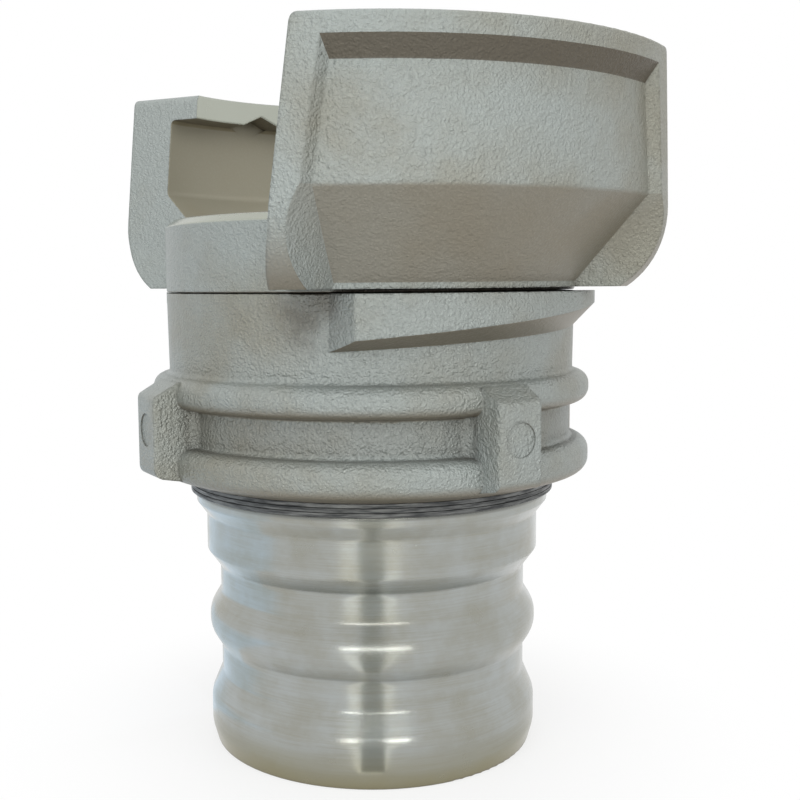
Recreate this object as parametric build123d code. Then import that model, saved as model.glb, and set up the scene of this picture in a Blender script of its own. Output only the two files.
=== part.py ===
from build123d import *
import os
from math import cos, radians, sin, sqrt, tan

# Symmetrical quarter-turn hose half-coupling, size DN100, in millimetres. +Z is up along the bore and
# the origin is the centre of the tail's open end. Angles are counted from -Y, positive towards +X.
# The two hooked lugs are centred on -Y and +Y.

# ribbed hose tail, from the open end upwards
land_radius = 51.1
land_length = 11.0
land_shoulder = 5.3
tail_groove_depth = 3.9
tail_wall = 3.2
tail_end_wall = 5.0
bore_chamfer = 1.2
foot_height = 21.8
foot_under_land = 0.55
rib_width = 16.8
rib_under_land = 0.45
lower_groove_width = 8.2
upper_groove_width = 8.0
groove_fillet = 2.5

# collar, snap ring and the journal that the locking ring turns on
collar_step = 3.0
collar_cone = 4.1
collar_length = 2.9
snap_proud = 1.65
snap_seat_depth = 2.2
snap_height = 3.9
snap_opening = 9.0
snap_angle = 40.0
snap_groove_play = 0.15
snap_axial_play = 0.3
snap_turns = 3
snap_seam = 0.25
journal_play = 0.06

# locking ring: sleeve and half-round beads
ring_height = 55.4
ring_wall = 7.6
ring_root_step = 1.15
ring_end_wall = 3.0
ring_head_play = 0.35
bead_proud = 5.65
bead_height = 9.2
upper_bead_rise = 22.6
lower_bead_rise = 2.9

# helical cam ramps at the ring's top edge
ramp_count = 2
ramp_proud = 6.15
ramp_start_angle = -35.0
ramp_sweep = 85.0
ramp_end_slant = 5.5
ramp_thick_root = 15.0
ramp_thin_root = 10.0
ramp_thick_nose = 12.6
ramp_thin_nose = 3.5
ramp_stations = 7

# spanner bosses round the ring
boss_angles = (7.3, 93.4, 187.3, 273.4)
boss_proud = 11.8
boss_face_width = 14.0
boss_root_width = 15.8
boss_rise = 1.2
boss_height = 29.6
boss_top_slope = 4.0
boss_low_slope = 3.0
boss_low_round = 3.0
boss_edge_round = 2.0
boss_edge_step = 0.6
boss_root_fillet = 3.5
boss_mark_rise = 17.2
boss_mark_radius = 4.7
boss_mark_depth = 0.4

# head: flange, coupling face and seal
flange_height = 18.9
face_rise = 2.1
face_chamfer = 2.45
seal_lip = 2.6
seal_width = 6.8
seal_shoulder = 1.6
seal_groove_depth = 9.0
seal_proud = 0.5
seal_play = 0.1

# hooked lugs
lug_count = 2
lug_wall = 15.5
lug_height = 64.2
lug_foot = 0.8
lug_top_round = 1.0
lug_half_angle = 38.9
lug_lean = 7.5
lug_lean_height = 40.0
lug_foot_flare = 2.2
lug_flare_height = 14.0
lug_flare_round = 20.0
lug_corner = 26.0
lug_corner_drop = 3.5
lug_end_round = 3.0
hook_clearance = 2.25
hook_thickness = 7.8
hook_edge_round = 1.0
pocket_clearance = 6.1
pocket_foot_rise = 0.9
pocket_foot_step = 0.3
pocket_corner_round = 3.0
latch_notch_depth = 3.2
latch_notch_width = 14.0
latch_notch_angle = 10.5

# drafted recess in the outside of each lug
recess_depth = 3.0
panel_break_height = 25.4
panel_top_height = 53.7
panel_foot_height = 2.4
panel_foot_step = 4.8
panel_break_round = 2.0
rim_top_width = 5.3
recess_draft = 72.0
recess_foot_draft = 53.0
recess_top_angle = 30.1
recess_break_angle = 34.2
recess_foot_angle = 33.8
recess_fillet = 1.5

# radii, outwards from the land that the hose grips
tail_groove_radius = land_radius - tail_groove_depth
bore_radius = tail_groove_radius - tail_wall
collar_radius = land_radius + collar_step
snap_inner_radius = collar_radius - snap_seat_depth
snap_outer_radius = collar_radius + snap_proud
ring_bore_radius = collar_radius + journal_play
ring_top_radius = ring_bore_radius + ring_wall
ring_root_radius = ring_top_radius - ring_root_step
ring_end_radius = ring_bore_radius + ring_end_wall
bead_radius = ring_root_radius + bead_proud
ramp_outer_radius = ring_top_radius + ramp_proud
boss_face_radius = ring_root_radius + boss_proud
flange_radius = ring_top_radius
face_radius = flange_radius - face_chamfer
seal_groove_inner = bore_radius + seal_lip
seal_mouth_radius = seal_groove_inner + seal_width
seal_groove_outer = seal_mouth_radius + seal_shoulder
hook_inner_radius = flange_radius + hook_clearance
pocket_radius = ramp_outer_radius + pocket_clearance
lug_outer_radius = pocket_radius + lug_wall
panel_radius = lug_outer_radius - recess_depth
panel_foot_radius = flange_radius + panel_foot_step

# heights, upwards from the tail's open end
rib_low = foot_height + lower_groove_width
rib_high = rib_low + rib_width
shoulder_low = rib_high + upper_groove_width
land_low = shoulder_low + land_shoulder
land_high = land_low + land_length
collar_low = land_high + collar_cone
collar_top = collar_low + collar_length
snap_low = collar_top + snap_groove_play
snap_top = snap_low + snap_height
ring_bottom = snap_top + snap_axial_play
ring_top = ring_bottom + ring_height
head_bottom = ring_top + ring_head_play
flange_top = head_bottom + flange_height
face_top = flange_top + face_rise
lug_top = head_bottom + lug_height
hook_under = lug_top - hook_thickness
pocket_corner_low = flange_top + pocket_foot_rise + pocket_radius - flange_radius - pocket_foot_step


def profile(points):
    """Closed section in the XZ plane from (radius, height, corner rounding) triples."""
    outline = FilletPolyline(*[(r, z) for r, z, _ in points], radius=[f for _, _, f in points], close=True)
    return Plane.XZ * make_face(outline)


def turned(points):
    """Solid of revolution about the bore's axis from a profile."""
    return revolve(profile(points), Axis.Z)


def at_angle(shape, angle):
    """Turn a shape made about -Y to its own angle round the bore."""
    return Rot(0, 0, angle) * shape


def tail_and_journal():
    """Ribbed tail, collar, snap ring groove, journal and flange: one turned profile."""
    foot_radius = land_radius - foot_under_land
    rib_radius = land_radius - rib_under_land
    rib_crest = rib_width * 0.16
    rib_middle = rib_low + rib_width / 2
    groove_radius = snap_inner_radius - snap_groove_play
    groove_top = snap_top + snap_groove_play
    return turned([
        (bore_radius, 0, 0),
        (bore_radius + tail_end_wall, 0, 0.8),
        (foot_radius, foot_height * 0.25, 8.0),
        (foot_radius, foot_height * 0.64, 7.0),
        (tail_groove_radius, foot_height, groove_fillet),
        (tail_groove_radius, rib_low, groove_fillet),
        (rib_radius, rib_middle - rib_crest, 8.0),
        (rib_radius, rib_middle + rib_crest, 8.0),
        (tail_groove_radius, rib_high, groove_fillet),
        (tail_groove_radius, shoulder_low, groove_fillet),
        (land_radius, land_low, 1.0),
        (land_radius, land_high, 0.8),
        (collar_radius, collar_low, 0.4),
        (collar_radius, collar_top, 0),
        (groove_radius, collar_top, 0),
        (groove_radius, groove_top, 0),
        (collar_radius, groove_top, 0),
        (collar_radius, head_bottom, 0),
        (flange_radius, head_bottom, 0.4),
        (flange_radius, flange_top, 0.3),
        (face_radius, face_top, 0.3),
        (bore_radius, face_top, 0),
    ])


def lug_band():
    """C-shaped section of the two lugs carried all the way round: wall, hook and machined pocket."""
    overlap = 1.0
    foot_radius = flange_radius + pocket_foot_step
    return turned([
        (face_radius - overlap, head_bottom - lug_corner_drop, 0),
        (lug_outer_radius, head_bottom - lug_corner_drop, lug_corner),
        (lug_outer_radius, lug_top, lug_top_round),
        (hook_inner_radius, lug_top, hook_edge_round),
        (hook_inner_radius, hook_under, 0),
        (pocket_radius, hook_under, 1.5),
        (pocket_radius, pocket_corner_low, pocket_corner_round),
        (foot_radius, flange_top + pocket_foot_rise, 0),
        (flange_radius, flange_top, 0),
        (face_radius - overlap, flange_top, 0),
    ])


def wedge():
    """Block between the two leaning end faces of the lug on -Y, with flared foot and rounded shoulders."""
    half = radians(lug_half_angle)
    low, bend = head_bottom + lug_foot, head_bottom + lug_flare_height
    rounding = [0, lug_flare_round, lug_end_round, lug_end_round, lug_flare_round, 0]

    def half_width(distance, height):
        lean = (head_bottom + lug_lean_height - height) * tan(radians(lug_lean))
        return distance * tan(half) + lean / cos(half)

    sections = []
    for distance in (bore_radius * 0.7, lug_outer_radius * 1.3):
        foot = half_width(distance, low) + lug_foot_flare
        waist = half_width(distance, bend)
        shoulder = half_width(distance, lug_top)
        right = [(foot, low), (waist, bend), (shoulder, lug_top)]
        left = [(-x, z) for x, z in reversed(right)]
        outline = FilletPolyline(*right, *left, radius=rounding, close=True)
        sections.append(Plane.XZ.offset(distance) * make_face(outline))
    return loft(sections, ruled=True)


def recess_wedge():
    """Block between the drafted side walls of the outside recess, in three levels."""
    levels = [
        (head_bottom - 0.5, panel_foot_radius, recess_foot_angle, recess_foot_draft),
        (head_bottom + panel_break_height, panel_radius, recess_break_angle, recess_draft),
        (lug_top + 1, panel_radius, recess_top_angle, recess_draft),
    ]
    reach = lug_outer_radius * 1.15
    sections = []
    for height, radius, angle, draft in levels:
        slope = tan(radians(draft))
        side, depth = radius * sin(radians(angle)), radius * cos(radians(angle))
        inner = side / 5
        near = depth - (side - inner) / slope
        outer = side + (reach - depth) * slope
        sections.append(Plane.XY.offset(height) * make_face(Polyline(
            (-inner, -near), (inner, -near), (outer, -reach), (-outer, -reach), close=True)))
    return loft(sections, ruled=True)


def recess_band():
    """Space outside the lug's panel, carried all the way round."""
    far = lug_outer_radius + 8
    rim_low = lug_height - rim_top_width
    rise = (rim_low - panel_top_height) / (lug_outer_radius - panel_radius)
    return turned([
        (panel_foot_radius, head_bottom - 1, 0),
        (panel_foot_radius, head_bottom + panel_foot_height, 0),
        (panel_radius, head_bottom + panel_break_height, panel_break_round),
        (panel_radius, head_bottom + panel_top_height, recess_fillet),
        (far, head_bottom + panel_top_height + rise * (far - panel_radius), 0),
        (far, head_bottom - 1, 0),
    ])


def latch_notch():
    """V-shaped notch across the underside of the hook, where the ramp's end is held."""
    flank = Polyline(
        (-latch_notch_width / 2, hook_under),
        (0, hook_under + latch_notch_depth),
        (latch_notch_width / 2, hook_under),
        (0, hook_under - latch_notch_depth),
        close=True,
    )
    hook_face = Plane(origin=(0, -bore_radius, 0), x_dir=(1, 0, 0), z_dir=(0, -1, 0))
    return at_angle(extrude(hook_face * make_face(flank), pocket_radius - bore_radius), latch_notch_angle)


def lug():
    """Hooked lug on -Y: the wedge of the band, less its outside recess and the notch in its hook."""
    recess = recess_band() & recess_wedge()
    return (lug_band() & wedge()) - recess - latch_notch()


def seal_groove():
    """Undercut groove in the coupling face that holds the seal by its shoulder."""
    floor = face_top - seal_groove_depth
    shoulder = face_top - seal_groove_depth / 2
    return turned([
        (seal_groove_inner, floor, 0.5),
        (seal_groove_outer, floor, 0.5),
        (seal_groove_outer, shoulder, 0),
        (seal_mouth_radius, shoulder + seal_shoulder, 0),
        (seal_mouth_radius, face_top + 1, 0),
        (seal_groove_inner, face_top + 1, 0),
    ])


def coupling_body():
    """The cast and machined half-coupling: tail, journal, flange and both lugs."""
    body = tail_and_journal()
    one_lug = lug()
    for index in range(lug_count):
        body += at_angle(one_lug, index * 360 / lug_count)
    body -= seal_groove()
    bore = turned([
        (0, -1, 0),
        (bore_radius + bore_chamfer + 1, -1, 0),
        (bore_radius, bore_chamfer, 0),
        (bore_radius, face_top + 1, 0),
        (0, face_top + 1, 0),
    ])
    return body - bore


def ring_blank():
    """Locking ring's sleeve with its two half-round beads."""
    lower = ring_bottom + lower_bead_rise
    upper = ring_bottom + upper_bead_rise
    side = bead_height * 0.07
    crest = bead_height * 0.42
    return turned([
        (ring_bore_radius, ring_bottom, 0),
        (ring_end_radius, ring_bottom, 1.2),
        (bead_radius, lower, 1.05 * crest),
        (bead_radius, lower + bead_height - side, crest),
        (ring_root_radius, lower + bead_height, 1.2),
        (ring_root_radius, upper, 1.2),
        (bead_radius, upper + side, crest),
        (bead_radius, upper + bead_height - side, crest),
        (ring_top_radius - ring_root_step / 3, upper + bead_height, 1.5),
        (ring_top_radius, ring_top, 0.4),
        (ring_bore_radius, ring_top, 0),
    ])


def ramp():
    """Helical cam: a wedge section lofted round the ring as its underside climbs, cut to the outer radius."""
    near, far = bore_radius + (ring_root_radius - bore_radius) * 0.85, ramp_outer_radius * 1.06
    above = ring_top + ramp_thick_root
    sections = []
    for index in range(ramp_stations):
        share = index / (ramp_stations - 1)
        root = ramp_thick_root + (ramp_thin_root - ramp_thick_root) * share
        nose = ramp_thick_nose + (ramp_thin_nose - ramp_thick_nose) * share
        slope = (root - nose) / ramp_proud
        section = Plane.XZ * make_face(Polyline(
            (near, above),
            (far, above),
            (far, ring_top - nose + slope * (far - ramp_outer_radius)),
            (near, ring_top - root - slope * (ring_top_radius - near)),
            close=True,
        ))
        sections.append(at_angle(section, -90 + ramp_start_angle + ramp_sweep * share))
    limit = Pos(0, 0, ring_top) * Cylinder(
        ramp_outer_radius, 2 * ramp_thick_root, align=(Align.CENTER, Align.CENTER, Align.MAX))
    return (loft(sections) & limit) - ramp_end_cut()


def ramp_end_cut():
    """Prism that slants the cam's thick end, so that it leans back from its root to its outer edge."""
    inner, outer = ring_top_radius, ramp_outer_radius * 1.1
    lead = ramp_start_angle - ramp_end_slant
    tail = ramp_start_angle + ramp_end_slant * (outer - inner) / ramp_proud
    corners = [(inner, ramp_start_angle), (outer, tail), (outer, lead), (inner, lead)]
    outline = [(r * sin(radians(a)), -r * cos(radians(a))) for r, a in corners]
    plane = Plane.XY.offset(ring_top - 2 * ramp_thick_root)
    return extrude(plane * make_face(Polyline(*outline, close=True)), 3 * ramp_thick_root)


def boss():
    """Spanner boss on -Y: a side outline crossed with a plan outline that flares into the ring."""
    root_half, face_half = boss_root_width / 2, boss_face_width / 2
    flare = root_half + boss_root_fillet
    inside = ring_bore_radius + ring_wall / 4
    low = ring_bottom + boss_rise
    top = low + boss_height
    side = FilletPolyline(
        (1 - inside, top),
        (1 - bead_radius, top),
        (-boss_face_radius, top - boss_top_slope),
        (-boss_face_radius, low + boss_low_slope),
        (1 - inside, low),
        radius=[0, 1.0, boss_edge_round, boss_low_round, 0],
        close=True,
    )
    at_root, at_flare = (sqrt(ring_root_radius ** 2 - x ** 2) for x in (root_half, flare))
    plan = FilletPolyline(
        (-flare, -inside),
        (-flare, -at_flare),
        (-root_half, -at_root),
        (-face_half, -boss_face_radius - boss_edge_step),
        (face_half, -boss_face_radius - boss_edge_step),
        (root_half, -at_root),
        (flare, -at_flare),
        (flare, -inside),
        radius=[0, 0, boss_root_fillet, boss_edge_round, boss_edge_round, boss_root_fillet, 0, 0],
        close=True,
    )
    block = extrude(Plane.YZ * make_face(side), 2 * flare, both=True)
    block &= extrude(Plane.XY.offset(low - 1) * make_face(plan), boss_height + 2, dir=(0, 0, 1))
    mark_centre = (0, -boss_face_radius - boss_mark_depth, ring_bottom + boss_mark_rise)
    mark_plane = Plane(origin=mark_centre, x_dir=(1, 0, 0), z_dir=(0, 1, 0))
    return block - extrude(mark_plane * Circle(boss_mark_radius), 2 * boss_mark_depth)


def locking_ring():
    """Cast ring with two cam ramps, two beads and four bosses, free to turn on the journal."""
    ring = ring_blank()
    one_ramp = ramp()
    one_boss = boss()
    for index in range(ramp_count):
        ring += at_angle(one_ramp, index * 360 / ramp_count)
    for angle in boss_angles:
        ring += at_angle(one_boss, angle)
    bore = Pos(0, 0, ring_bottom - 1) * Cylinder(
        ring_bore_radius, ring_height + 2, align=(Align.CENTER, Align.CENTER, Align.MIN))
    return ring - bore


def retaining_ring():
    """Steel spiral snap ring of flat turns, open on the side away from the lug on -Y."""
    turn = snap_height / snap_turns
    edge = [(snap_inner_radius, snap_low, 0), (snap_outer_radius, snap_low, snap_seam)]
    for index in range(1, snap_turns):
        seam = snap_low + index * turn
        edge += [
            (snap_outer_radius, seam - snap_seam / 2, 0),
            (snap_outer_radius - snap_seam, seam, 0),
            (snap_outer_radius, seam + snap_seam / 2, 0),
        ]
    edge += [(snap_outer_radius, snap_top, snap_seam), (snap_inner_radius, snap_top, 0)]
    middle = (snap_low + snap_top) / 2
    split = Pos(0, snap_outer_radius, middle) * Box(snap_opening, snap_outer_radius, 2 * snap_height)
    return at_angle(turned(edge) - split, snap_angle)


def face_seal():
    """Rubber seal that fills the undercut groove and stands slightly proud of the face."""
    floor = face_top - seal_groove_depth
    shoulder = face_top - seal_groove_depth / 2
    return turned([
        (seal_groove_inner + seal_play, floor, 0.5),
        (seal_groove_outer - seal_play, floor, 0.5),
        (seal_groove_outer - seal_play, shoulder - seal_play, 0),
        (seal_mouth_radius - seal_play, shoulder + seal_shoulder - seal_play, 0),
        (seal_mouth_radius - seal_play, face_top + seal_proud, 0.6),
        (seal_groove_inner + seal_play, face_top + seal_proud, 0.6),
    ])


os.makedirs("parts", exist_ok=True)
export_step(coupling_body(), "parts/coupling_body.step")
export_step(locking_ring(), "parts/locking_ring.step")
export_step(retaining_ring(), "parts/retaining_ring.step")
export_step(face_seal(), "parts/face_seal.step")
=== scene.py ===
import math
import bpy
import numpy as np
from mathutils import Matrix, Vector


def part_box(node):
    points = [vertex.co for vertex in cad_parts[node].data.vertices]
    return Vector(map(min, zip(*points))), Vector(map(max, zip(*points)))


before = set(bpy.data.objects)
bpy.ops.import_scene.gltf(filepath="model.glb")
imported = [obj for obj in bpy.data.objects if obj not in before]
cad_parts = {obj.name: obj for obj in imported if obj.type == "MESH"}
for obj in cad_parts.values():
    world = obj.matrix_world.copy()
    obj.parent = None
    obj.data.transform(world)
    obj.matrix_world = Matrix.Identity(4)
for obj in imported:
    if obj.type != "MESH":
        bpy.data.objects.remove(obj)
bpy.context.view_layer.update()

# Camera. It stands to the left of the front lug, level with the seam between head and locking ring,
# about 36 cm from the bore's axis, and looks slightly down.
SEAM_HEIGHT = float(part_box("locking_ring")[1][2])
VIEW_ANGLE = math.radians(-25.3)
VIEW_DISTANCE = 0.3611
VIEW_RISE = 0.0032
VIEW_PITCH = math.radians(-5.977)
VIEW_TURN = math.radians(-0.854)
VIEW_ROLL = math.radians(-0.462)

camera_data = bpy.data.cameras.new("camera")
camera = bpy.data.objects.new("camera", camera_data)
bpy.context.scene.collection.objects.link(camera)
bpy.context.scene.camera = camera
camera_data.sensor_width = 36.0
camera_data.lens = 52.57125
camera_data.shift_x = 0.0583
camera_data.shift_y = 0.0040
camera_data.clip_start = 0.01
turn = Matrix.Rotation(VIEW_ANGLE, 4, "Z")
place = Matrix.Translation((0.0, -VIEW_DISTANCE, SEAM_HEIGHT + VIEW_RISE))
aim = (Matrix.Rotation(-VIEW_TURN, 4, "Z") @ Matrix.Rotation(math.pi / 2 + VIEW_PITCH, 4, "X")
       @ Matrix.Rotation(VIEW_ROLL, 4, "Z"))
camera.matrix_world = turn @ place @ aim


# Studio. A white floor and backdrop, a broad cool lamp above and to the left of the camera, a weaker warm
# one on the right, one overhead and one behind the part; a long thin one behind the camera gives the turned
# ribs their glints.
WHITE = (1.0, 1.0, 1.0, 1.0)
scene = bpy.context.scene
scene.view_settings.view_transform = "Standard"


class Flow:
    """A shader value on its way from node to node; + - * / make Math nodes."""

    def __init__(self, tree, socket):
        self.tree, self.socket = tree, socket

    def node(self, kind, outlet=0, settings=None, **links):
        """Add any node: settings first, then the values or links of its sockets, by name or index."""
        made = self.tree.nodes.new(kind)
        for name, value in (settings or {}).items():
            setattr(made, name, value)
        for name, value in links.items():
            key = int(name[1:]) if name[0] == "i" and name[1:].isdigit() else name.replace("_", " ")
            inlet = made.inputs[key]
            if isinstance(value, Flow):
                self.tree.links.new(value.socket, inlet)
            else:
                inlet.default_value = value
        return Flow(self.tree, made.outputs[outlet])

    def math(self, operation, other=None):
        links = {"i0": self} if other is None else {"i0": self, "i1": other}
        return self.node("ShaderNodeMath", settings={"operation": operation}, **links)

    def __add__(self, other):
        return self.math("ADD", other)

    __radd__ = __add__

    def __mul__(self, other):
        return self.math("MULTIPLY", other)

    __rmul__ = __mul__

    def __sub__(self, other):
        return self.math("SUBTRACT", other)

    def __rsub__(self, other):
        return self.node("ShaderNodeMath", settings={"operation": "SUBTRACT"}, i0=other, i1=self)

    def __truediv__(self, other):
        return self.math("DIVIDE", other)

    def between(self, low, high, start=0.0, end=1.0):
        """Smooth step of the value from low to high, given as start to end."""
        return self.node("ShaderNodeMapRange", settings={"interpolation_type": "SMOOTHSTEP"},
                         i0=self, i1=low, i2=high, i3=start, i4=end)

    def mixed(self, first, second):
        """Colour first where the value is 0 and second where it is 1."""
        return self.node("ShaderNodeMix", outlet=2, settings={"data_type": "RGBA"},
                         i0=self, i6=first, i7=second)

    def larger(self, other):
        return self.math("MAXIMUM", other)

    def vector_math(self, operation, outlet=0, **links):
        """Vector Math with this vector as its first."""
        return self.node("ShaderNodeVectorMath", outlet, {"operation": operation}, i0=self, **links)

    def parts(self):
        """The vector's x, y and z."""
        split = self.node("ShaderNodeSeparateXYZ", i0=self).socket.node
        return [Flow(self.tree, outlet) for outlet in split.outputs]


def empty_material(name):
    """Material with only its output and Principled nodes, and the start of its node chain."""
    material = bpy.data.materials.new(name)
    material.use_nodes = True
    tree = material.node_tree
    shader = tree.nodes["Principled BSDF"]
    return material, Flow(tree, None), shader


def attach(start, shader, **links):
    """Set or link the Principled shader's sockets by name."""
    for name, value in links.items():
        inlet = shader.inputs[name.replace("_", " ")]
        if isinstance(value, Flow):
            start.tree.links.new(value.socket, inlet)
        else:
            inlet.default_value = value


def area_lamp(name, angle, rise, distance, size, power, colour):
    """Rectangular lamp at an angle round the bore from -Y, turned to face the middle of the part."""
    data = bpy.data.lights.new(name, "AREA")
    data.shape, data.size, data.size_y = "RECTANGLE", size[0], size[1]
    data.energy, data.color = power, colour
    lamp = bpy.data.objects.new(name, data)
    scene.collection.objects.link(lamp)
    a, e = math.radians(angle), math.radians(rise)
    outward = Vector((math.sin(a) * math.cos(e), -math.cos(a) * math.cos(e), math.sin(e)))
    lamp.location = outward * distance + Vector((0, 0, MIDDLE_HEIGHT))
    lamp.rotation_euler = outward.to_track_quat("Z", "Y").to_euler()
    return lamp


def flat_piece(name, corners, material):
    """Flat four-cornered piece from its corners."""
    mesh = bpy.data.meshes.new(name)
    mesh.from_pydata([tuple(map(float, corner)) for corner in corners], [], [(0, 1, 2, 3)])
    piece = bpy.data.objects.new(name, mesh)
    scene.collection.objects.link(piece)
    mesh.materials.append(material)
    return piece


MIDDLE_HEIGHT = 0.11
VIEW_SIDE = math.degrees(VIEW_ANGLE)
soft_lamps = (
    area_lamp("key_lamp", VIEW_SIDE - 16, 36, 1.0, (0.9, 0.9), 5.2, (0.93, 0.98, 1.0)),
    area_lamp("fill_lamp", VIEW_SIDE + 45, 25, 1.1, (0.8, 0.8), 2.5, (1.0, 0.97, 0.91)),
    area_lamp("top_lamp", VIEW_SIDE, 85, 0.9, (0.8, 0.8), 3.2, (1.0, 0.99, 0.97)),
    area_lamp("back_lamp", VIEW_SIDE + 180, 35, 1.2, (0.8, 0.8), 2.5, (1.0, 1.0, 1.0)))
for lamp in soft_lamps:
    lamp.visible_glossy = False
area_lamp("glint_lamp", VIEW_SIDE + 2, 5.5, 1.0, (0.80, 0.07), 1.7, (1.0, 0.99, 0.95))

world = bpy.data.worlds.new("world")
scene.world = world
world.use_nodes = True
background = world.node_tree.nodes["Background"]
background.inputs["Color"].default_value = WHITE


def background_rays(tree):
    """1 for rays that look at the backdrop: straight from the camera, or by way of metal or glass."""
    rays = tree.nodes.new("ShaderNodeLightPath")
    camera_ray, glossy_ray, clear_ray = (
        Flow(tree, rays.outputs[name]) for name in ("Is Camera Ray", "Is Glossy Ray", "Is Transmission Ray"))
    return camera_ray.larger(glossy_ray).larger(clear_ray)


AMBIENT = 0.36
backdrop = background_rays(world.node_tree) * (1.0 - AMBIENT) + AMBIENT
world.node_tree.links.new(backdrop.socket, background.inputs["Strength"])

FLOOR_HALF = 3.0
FLOOR_SEEN = (0.92, 0.92, 0.92, 1.0)
FLOOR_BOUNCE = (0.42, 0.41, 0.39, 1.0)
SHADOW_NEAR, SHADOW_FAR = 0.05, 0.13
SHADOW_FADE = 0.74
floor_material, start, shader = empty_material("floor_white")
spot = start.node("ShaderNodeTexCoord", outlet="Object")
reach = spot.vector_math("LENGTH", outlet="Value")
seen = background_rays(start.tree)
attach(start, shader, Base_Color=seen.mixed(FLOOR_BOUNCE, FLOOR_SEEN), Roughness=0.9)
plain_white = start.node("ShaderNodeEmission", outlet="Emission", Color=WHITE, Strength=1.0)
surface = start.node("ShaderNodeMixShader", outlet="Shader",
                     i0=seen * reach.between(SHADOW_NEAR, SHADOW_FAR, SHADOW_FADE, 1.0),
                     i1=Flow(start.tree, shader.outputs["BSDF"]), i2=plain_white)
start.tree.links.new(surface.socket, start.tree.nodes["Material Output"].inputs["Surface"])
floor = flat_piece("floor", FLOOR_HALF * np.array([[-1, -1, 0], [1, -1, 0], [1, 1, 0], [-1, 1, 0]]),
                   floor_material)

# Glowing cards, no lamps, that only the metal's reflections see and that paint streaks and dark bands into
# them: on the floor a cool one to the left, a bright one towards the camera and over it a narrow grey one,
# with two uprights at its far end, behind the camera.
CARD_NEAR, CARD_FAR = 0.056, 0.42
CARD_TIP = 0.004
CARD_LIFT = 0.001
LOW_CARD_TOP, HIGH_CARD_FOOT, HIGH_CARD_TOP = 0.10, 0.13, 0.80
CARD_GREY = (0.52, 0.53, 0.50, 1.0)
CARD_BRIGHT = (1.00, 0.99, 0.94, 1.0)
CARD_COOL = (0.88, 1.00, 1.12, 1.0)


def floor_wedge(angle, half_angle, lift):
    """Corners of a strip on the floor that widens away from the bore, at an angle round it from -Y."""
    a = math.radians(angle)
    away = np.array([math.sin(a), -math.cos(a), 0])
    across = np.array([math.cos(a), math.sin(a), 0])
    far_half = (CARD_FAR - CARD_NEAR) * math.tan(math.radians(half_angle)) + CARD_TIP
    near, far = away * CARD_NEAR, away * CARD_FAR
    return np.array([near - across * CARD_TIP, near + across * CARD_TIP,
                     far + across * far_half, far - across * far_half]) + np.array([0, 0, lift])


def upright(line, low, high):
    """Corners of an upright card over a line on the floor, from one height to another."""
    low_edge, high_edge = line + np.array([0, 0, low]), line[::-1] + np.array([0, 0, high])
    return np.concatenate([low_edge, high_edge])


grey_wedge = floor_wedge(VIEW_SIDE, 9, 2 * CARD_LIFT)
far_line = grey_wedge[[3, 2]]
cards = (("card_cool", floor_wedge(VIEW_SIDE - 105, 48, CARD_LIFT), CARD_COOL, 1.05),
         ("card_bright", floor_wedge(VIEW_SIDE - 1, 21, CARD_LIFT), CARD_BRIGHT, 1.50),
         ("card_grey", grey_wedge, CARD_GREY, 1.0),
         ("card_low", upright(far_line, 0, LOW_CARD_TOP), CARD_GREY, 1.0),
         ("card_high", upright(far_line, HIGH_CARD_FOOT, HIGH_CARD_TOP), CARD_GREY, 1.0))
for name, corners, colour, strength in cards:
    card_material, start, shader = empty_material(name)
    attach(start, shader, Base_Color=(0.0, 0.0, 0.0, 1.0), Roughness=1.0, Emission_Color=colour,
           Emission_Strength=strength, Specular_IOR_Level=0.0)
    card = flat_piece(name, corners, card_material)
    card.visible_camera = card.visible_shadow = card.visible_diffuse = False


# Half-coupling body. Head and lugs are sand-cast aluminium, shot-blasted, with painted shade on faces that
# look down, in corners and under the wall over each lug's recess, and painted shade making one side warmer
# and darker; the flange's edge, its face and the hooks are machined; the pocket behind the hooks is turned
# and coloured warmer and yellower; the bore, journal, collar and hose tail are turned bright.
CAST_COOL = (0.445, 0.482, 0.466, 1.0)
CAST_WARM = (0.365, 0.358, 0.300, 1.0)
# Brown painted shade for cast faces that look down.
CAST_PAINTED_UNDERSIDE_SHADE = (0.310, 0.270, 0.205, 1.0)
# Dark brown for the ring's water stain and for painted shade.
CAST_STAIN_AND_PAINTED_SHADE = (0.100, 0.078, 0.050, 1.0)
POCKET_WARM = (0.385, 0.340, 0.235, 1.0)
# Dark brown painted shade in corners and gaps.
CREVICE_PAINTED_SHADE = (0.070, 0.055, 0.038, 1.0)
MACHINED = (0.430, 0.450, 0.390, 1.0)
TURNED_BRIGHT = (0.390, 0.412, 0.404, 1.0)
TURNED_DULL = (0.320, 0.318, 0.274, 1.0)
TURNED_FOOT_BROWN = (0.270, 0.250, 0.165, 1.0)
COLLAR_DULL = (0.230, 0.235, 0.218, 1.0)
BODY_SHADE = 0.85
GRAIN_SIZE = 0.0007
GRAIN_DEPTH = 0.0008
PIT_SIZE = 0.0022
CLOUD_SIZE = 0.035
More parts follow.
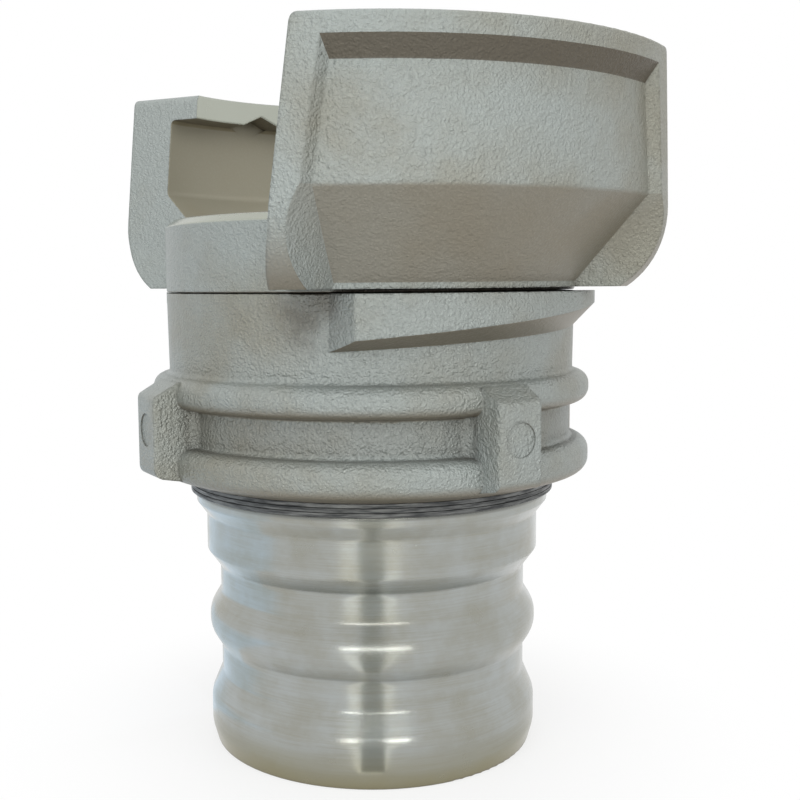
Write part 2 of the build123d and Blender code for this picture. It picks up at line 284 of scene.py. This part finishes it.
# Painted shade: how strongly the castings turn warmer and darker across the view towards one side, and that
# side's direction.
SIDE_SHADE_DRIFT = 2.4
PAINTED_SHADE_SIDE = (0.90, -0.43)
EDGE_ROUND = 0.0011
SHADE_REACH = 0.006
LATHE_PITCH = 0.00035
LATHE_DEPTH = 0.00003
BAND_SIZE = 0.004
SMUDGE_SIZE = 0.014
TAIL_BROWN_LOW, TAIL_BROWN_TOP = 0.004, 0.017
COLLAR_LOW = float(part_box("retaining_ring")[0][2]) - 0.0016
JOURNAL_TOP = SEAM_HEIGHT - 0.0008
FLANGE_EDGE = SEAM_HEIGHT + 0.0195
FLANGE_RADIUS = 0.0618
HOOK_LOW = float(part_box("coupling_body")[1][2]) - 0.0082
HOOK_RADIUS = 0.0644
POCKET_RADIUS = 0.0742
BORE_RADIUS = 0.0445
RECESS_HEIGHT = SEAM_HEIGHT + 0.048
EDGE_WIDTH = 0.0003


def axes_of(start):
    """Object coordinates as one vector, the distance from the bore's axis and the height."""
    where = start.node("ShaderNodeTexCoord", outlet="Object")
    x, y, z = where.parts()
    return where, (x * x + y * y).math("SQRT"), z


def noise(where, size, detail=2.0, roughness=0.5):
    """Noise whose lumps are about as wide as the given size."""
    return where.node("ShaderNodeTexNoise", Vector=where, Scale=1.0 / size, Detail=detail,
                      Roughness=roughness)


def scaled(where, across, along=1.0):
    """Coordinates times one factor across the bore and one along it; a small one across makes streaks."""
    return where.vector_math("MULTIPLY", i1=(across, across, along))


def crevice_mask(start, distance):
    """1 deep in corners and gaps narrower than the distance, 0 in the open; it places painted shade."""
    open_sky = start.node("ShaderNodeAmbientOcclusion", outlet="AO", settings={"samples": 8},
                          Distance=distance)
    return open_sky.between(0.15, 0.75, 1.0, 0.0)


def facing(start):
    """The surface's own direction, and how far it looks up or down."""
    normal = start.node("ShaderNodeTexCoord", outlet="Normal")
    return normal, normal.parts()[2]


def down_mask(start):
    """1 on surfaces that face down, 0 on upright ones and those that face up."""
    return facing(start)[1].between(-0.98, -0.08, 1.0, 0.0)


def within(value, limit, width=EDGE_WIDTH):
    """1 up to a limit, 0 past it."""
    return value.between(limit, limit + width, 1.0, 0.0)


def beyond(value, limit, width=EDGE_WIDTH):
    """0 up to a limit, 1 past it."""
    return value.between(limit, limit + width)


def cast_look(start, where, darkening, shade, shade_reach, side_shade):
    """Colour and bump height of a blasted casting: clouds, painted shade making one side warmer and darker,
    grain, pits, brown painted shade on faces that look down and in crevices, and a dark mark.
    """
    x, y, _ = where.parts()
    # Painted shade: besides the random clouds, the colour drifts across the view to warmer and darker on one
    # side.
    across = x * PAINTED_SHADE_SIDE[0] + y * PAINTED_SHADE_SIDE[1]
    cloud_and_side_shade = (noise(where, CLOUD_SIZE, 4.0) + across * side_shade).between(0.38, 0.74)
    grain = where.node("ShaderNodeTexVoronoi", outlet="Distance", settings={"feature": "SMOOTH_F1"},
                       Vector=where, Scale=1.0 / GRAIN_SIZE, Detail=1.0)
    pits = noise(where, PIT_SIZE)
    colour = cloud_and_side_shade.mixed(CAST_COOL, CAST_WARM)
    # Painted shade: faces that look down turn brown and dark.
    colour = (down_mask(start) * 0.95).mixed(colour, CAST_PAINTED_UNDERSIDE_SHADE)
    # The dark mark is painted shade on the head, under the wall over a lug's recess; on the ring it is a
    # water stain and painted shade between the beads.
    colour = darkening.mixed(colour, CAST_STAIN_AND_PAINTED_SHADE)
    # Painted shade in corners and gaps.
    colour = (crevice_mask(start, shade_reach) * 0.9).mixed(colour, CREVICE_PAINTED_SHADE)
    colour = colour.vector_math("SCALE", Scale=grain.between(0.15, 0.75, 1.05 * shade, 0.93 * shade))
    return colour, (pits * 0.55 - grain * 0.5) * (1.0 - down_mask(start) * 0.8)


def cast_bump(start, height):
    """Relief of the grain on a casting whose edges and corners are rounded off."""
    soft_edges = start.node("ShaderNodeBevel", settings={"samples": 4}, Radius=EDGE_ROUND)
    return start.node("ShaderNodeBump", Strength=1.0, Distance=GRAIN_DEPTH, Height=height, Normal=soft_edges)


def turned_look(start, where, z):
    """Colour, tool marks and smudges of turned metal, with a dull collar, painted shade in grooves and a foot
    darker and browner towards the bottom.
    """
    ringed = scaled(where, 0.02)
    fine = noise(ringed, LATHE_PITCH, 3.0, 0.7)
    bands = noise(ringed, BAND_SIZE)
    smudge = noise(where, SMUDGE_SIZE, 5.0, 0.6)
    tone = (fine * 0.25 + bands * 0.25 + smudge * 0.5).between(0.34, 0.66)
    colour = tone.mixed(TURNED_BRIGHT, TURNED_DULL)
    # Darker and browner towards the bottom of the foot.
    browner_low = (z + smudge * 0.008).between(TAIL_BROWN_LOW, TAIL_BROWN_TOP, 1.0, 0.0)
    colour = browner_low.mixed(colour, TURNED_FOOT_BROWN)
    colour = beyond(z, COLLAR_LOW, 0.0008).mixed(colour, COLLAR_DULL)
    # Painted shade in the tail's grooves and corners.
    colour = (crevice_mask(start, 0.003) * 0.35).mixed(colour, CREVICE_PAINTED_SHADE)
    return colour, fine, smudge


def dressed_slots(name, material):
    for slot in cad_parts[name].material_slots:
        slot.material = material


body_metal, start, shader = empty_material("aluminium_body")
where, radius, z = axes_of(start)
normal, up = facing(start)
# Above the flange, only the hooks and the pockets behind them look towards the bore's axis.
outward = normal.vector_math("DOT_PRODUCT", outlet="Value", i1=scaled(where, 1.0, 0.0))
inward = (outward / radius).between(-0.6, -0.3, 1.0, 0.0)
# High up, the wall over a lug's recess is the one face that leans down by 15 to 37 degrees; it gets painted
# shade.
recess_top = beyond(z, RECESS_HEIGHT, 0.004) * up.between(-0.75, -0.60) * up.between(-0.26, -0.16, 1.0, 0.0)
cast_colour, cast_height = cast_look(start, where, recess_top * 0.8, BODY_SHADE, SHADE_REACH, SIDE_SHADE_DRIFT)
turned_colour, turned_height, smudge = turned_look(start, where, z)
turned = within(z, JOURNAL_TOP - 0.0004, 0.0004).larger(within(radius, BORE_RADIUS))
flange_face = beyond(z, FLANGE_EDGE - 0.0006, 0.0006) * within(radius, FLANGE_RADIUS)
hook_face = inward * beyond(z, HOOK_LOW) * within(radius, HOOK_RADIUS)
pocket = inward * beyond(z, FLANGE_EDGE + 0.0004, 0.0002) * within(radius, POCKET_RADIUS)
machined = flange_face.larger(hook_face)
smooth = turned.larger(machined)
cast_colour = (pocket * 0.7).mixed(cast_colour, POCKET_WARM)
colour = turned.mixed(machined.mixed(cast_colour, MACHINED), turned_colour)
grain_bump = cast_bump(start, cast_height * (1.0 - smooth.larger(pocket)))
lathe_bump = start.node("ShaderNodeBump", Strength=0.25, Distance=LATHE_DEPTH, Height=turned_height * smooth,
                        Normal=grain_bump)
attach(start, shader, Base_Color=colour, Metallic=smooth * 0.6 + 0.4,
       Roughness=smooth * (smudge * 0.25 - 0.36) + 0.47, Normal=lathe_bump,
       Anisotropic=0.6, Anisotropic_Rotation=0.25)
dressed_slots("coupling_body", body_metal)


# Locking ring. Sand-cast aluminium like the head, with the same painted shade, a brown water stain below the
# seam, beside the thick end of the front cam, and painted shade in the groove between its two beads.
RING_SHADE = 0.80
RING_SHADE_REACH = 0.016
# Weaker painted side shade on the ring.
RING_SIDE_SHADE_DRIFT = 0.6
STAIN_ANGLE = math.radians(-40)
STAIN_REACH = 0.016
STAIN_RADIUS = 0.062
STAIN_DROP = 0.004
BLOTCH_SIZE = 0.008
HOLLOW_LOW = float(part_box("locking_ring")[0][2]) + 0.0121
HOLLOW_HIGH = HOLLOW_LOW + 0.0105
HOLLOW_RADIUS = 0.0635
HOLLOW_PAINTED_SHADE = 0.22
ring_metal, start, shader = empty_material("aluminium_ring")
where, radius, z = axes_of(start)
stain_spot = (STAIN_RADIUS * math.sin(STAIN_ANGLE), -STAIN_RADIUS * math.cos(STAIN_ANGLE),
              SEAM_HEIGHT - STAIN_DROP)
to_spot = where.vector_math("DISTANCE", outlet="Value", i1=stain_spot)
blotch = noise(where, BLOTCH_SIZE, 3.0).between(0.3, 0.7, 0.3, 1.0)
darkening = to_spot.between(STAIN_REACH * 0.2, STAIN_REACH, 0.62, 0.0) * blotch
# Painted shade in the groove between the two beads.
hollow = beyond(z, HOLLOW_LOW, 0.002) * within(z, HOLLOW_HIGH - 0.002, 0.002)
hollow = hollow * radius.between(HOLLOW_RADIUS, HOLLOW_RADIUS + 0.0015, HOLLOW_PAINTED_SHADE, 0.0)
cast_colour, cast_height = cast_look(start, where, darkening.larger(hollow), RING_SHADE, RING_SHADE_REACH,
                                     RING_SIDE_SHADE_DRIFT)
attach(start, shader, Base_Color=cast_colour, Metallic=0.45, Roughness=0.41,
       Normal=cast_bump(start, cast_height))
dressed_slots("locking_ring", ring_metal)


# Snap ring. Dark spring steel, flat turns with oil and dust between them, sprung into the body's groove.
STEEL_DARK = (0.055, 0.058, 0.060, 1.0)
STEEL_WORN = (0.190, 0.195, 0.192, 1.0)
WEAR_SIZE = 0.0009
WEAR_DEPTH = 0.0001
steel, start, shader = empty_material("spring_steel")
where, _, _ = axes_of(start)
wear = noise(scaled(where, 0.1), WEAR_SIZE, 4.0, 0.65)
attach(start, shader, Base_Color=wear.between(0.35, 0.7).mixed(STEEL_DARK, STEEL_WORN), Metallic=0.8,
       Roughness=wear.between(0.3, 0.7, 0.55, 0.38),
       Normal=start.node("ShaderNodeBump", Strength=0.3, Distance=WEAR_DEPTH, Height=wear))
dressed_slots("retaining_ring", steel)


# Face seal. Matt black rubber with a faint bloom, pressed into the undercut groove of the coupling face.
RUBBER = (0.022, 0.022, 0.023, 1.0)
RUBBER_BLOOM = (0.060, 0.060, 0.062, 1.0)
BLOOM_SIZE = 0.006
SKIN_SIZE = 0.0006
SKIN_DEPTH = 0.0001
rubber, start, shader = empty_material("seal_rubber")
where, _, _ = axes_of(start)
bloom = noise(where, BLOOM_SIZE, 4.0).between(0.45, 0.75)
skin = start.node("ShaderNodeBump", Strength=0.2, Distance=SKIN_DEPTH, Height=noise(where, SKIN_SIZE))
attach(start, shader, Base_Color=bloom.mixed(RUBBER, RUBBER_BLOOM), Roughness=0.7, Normal=skin)
dressed_slots("face_seal", rubber)
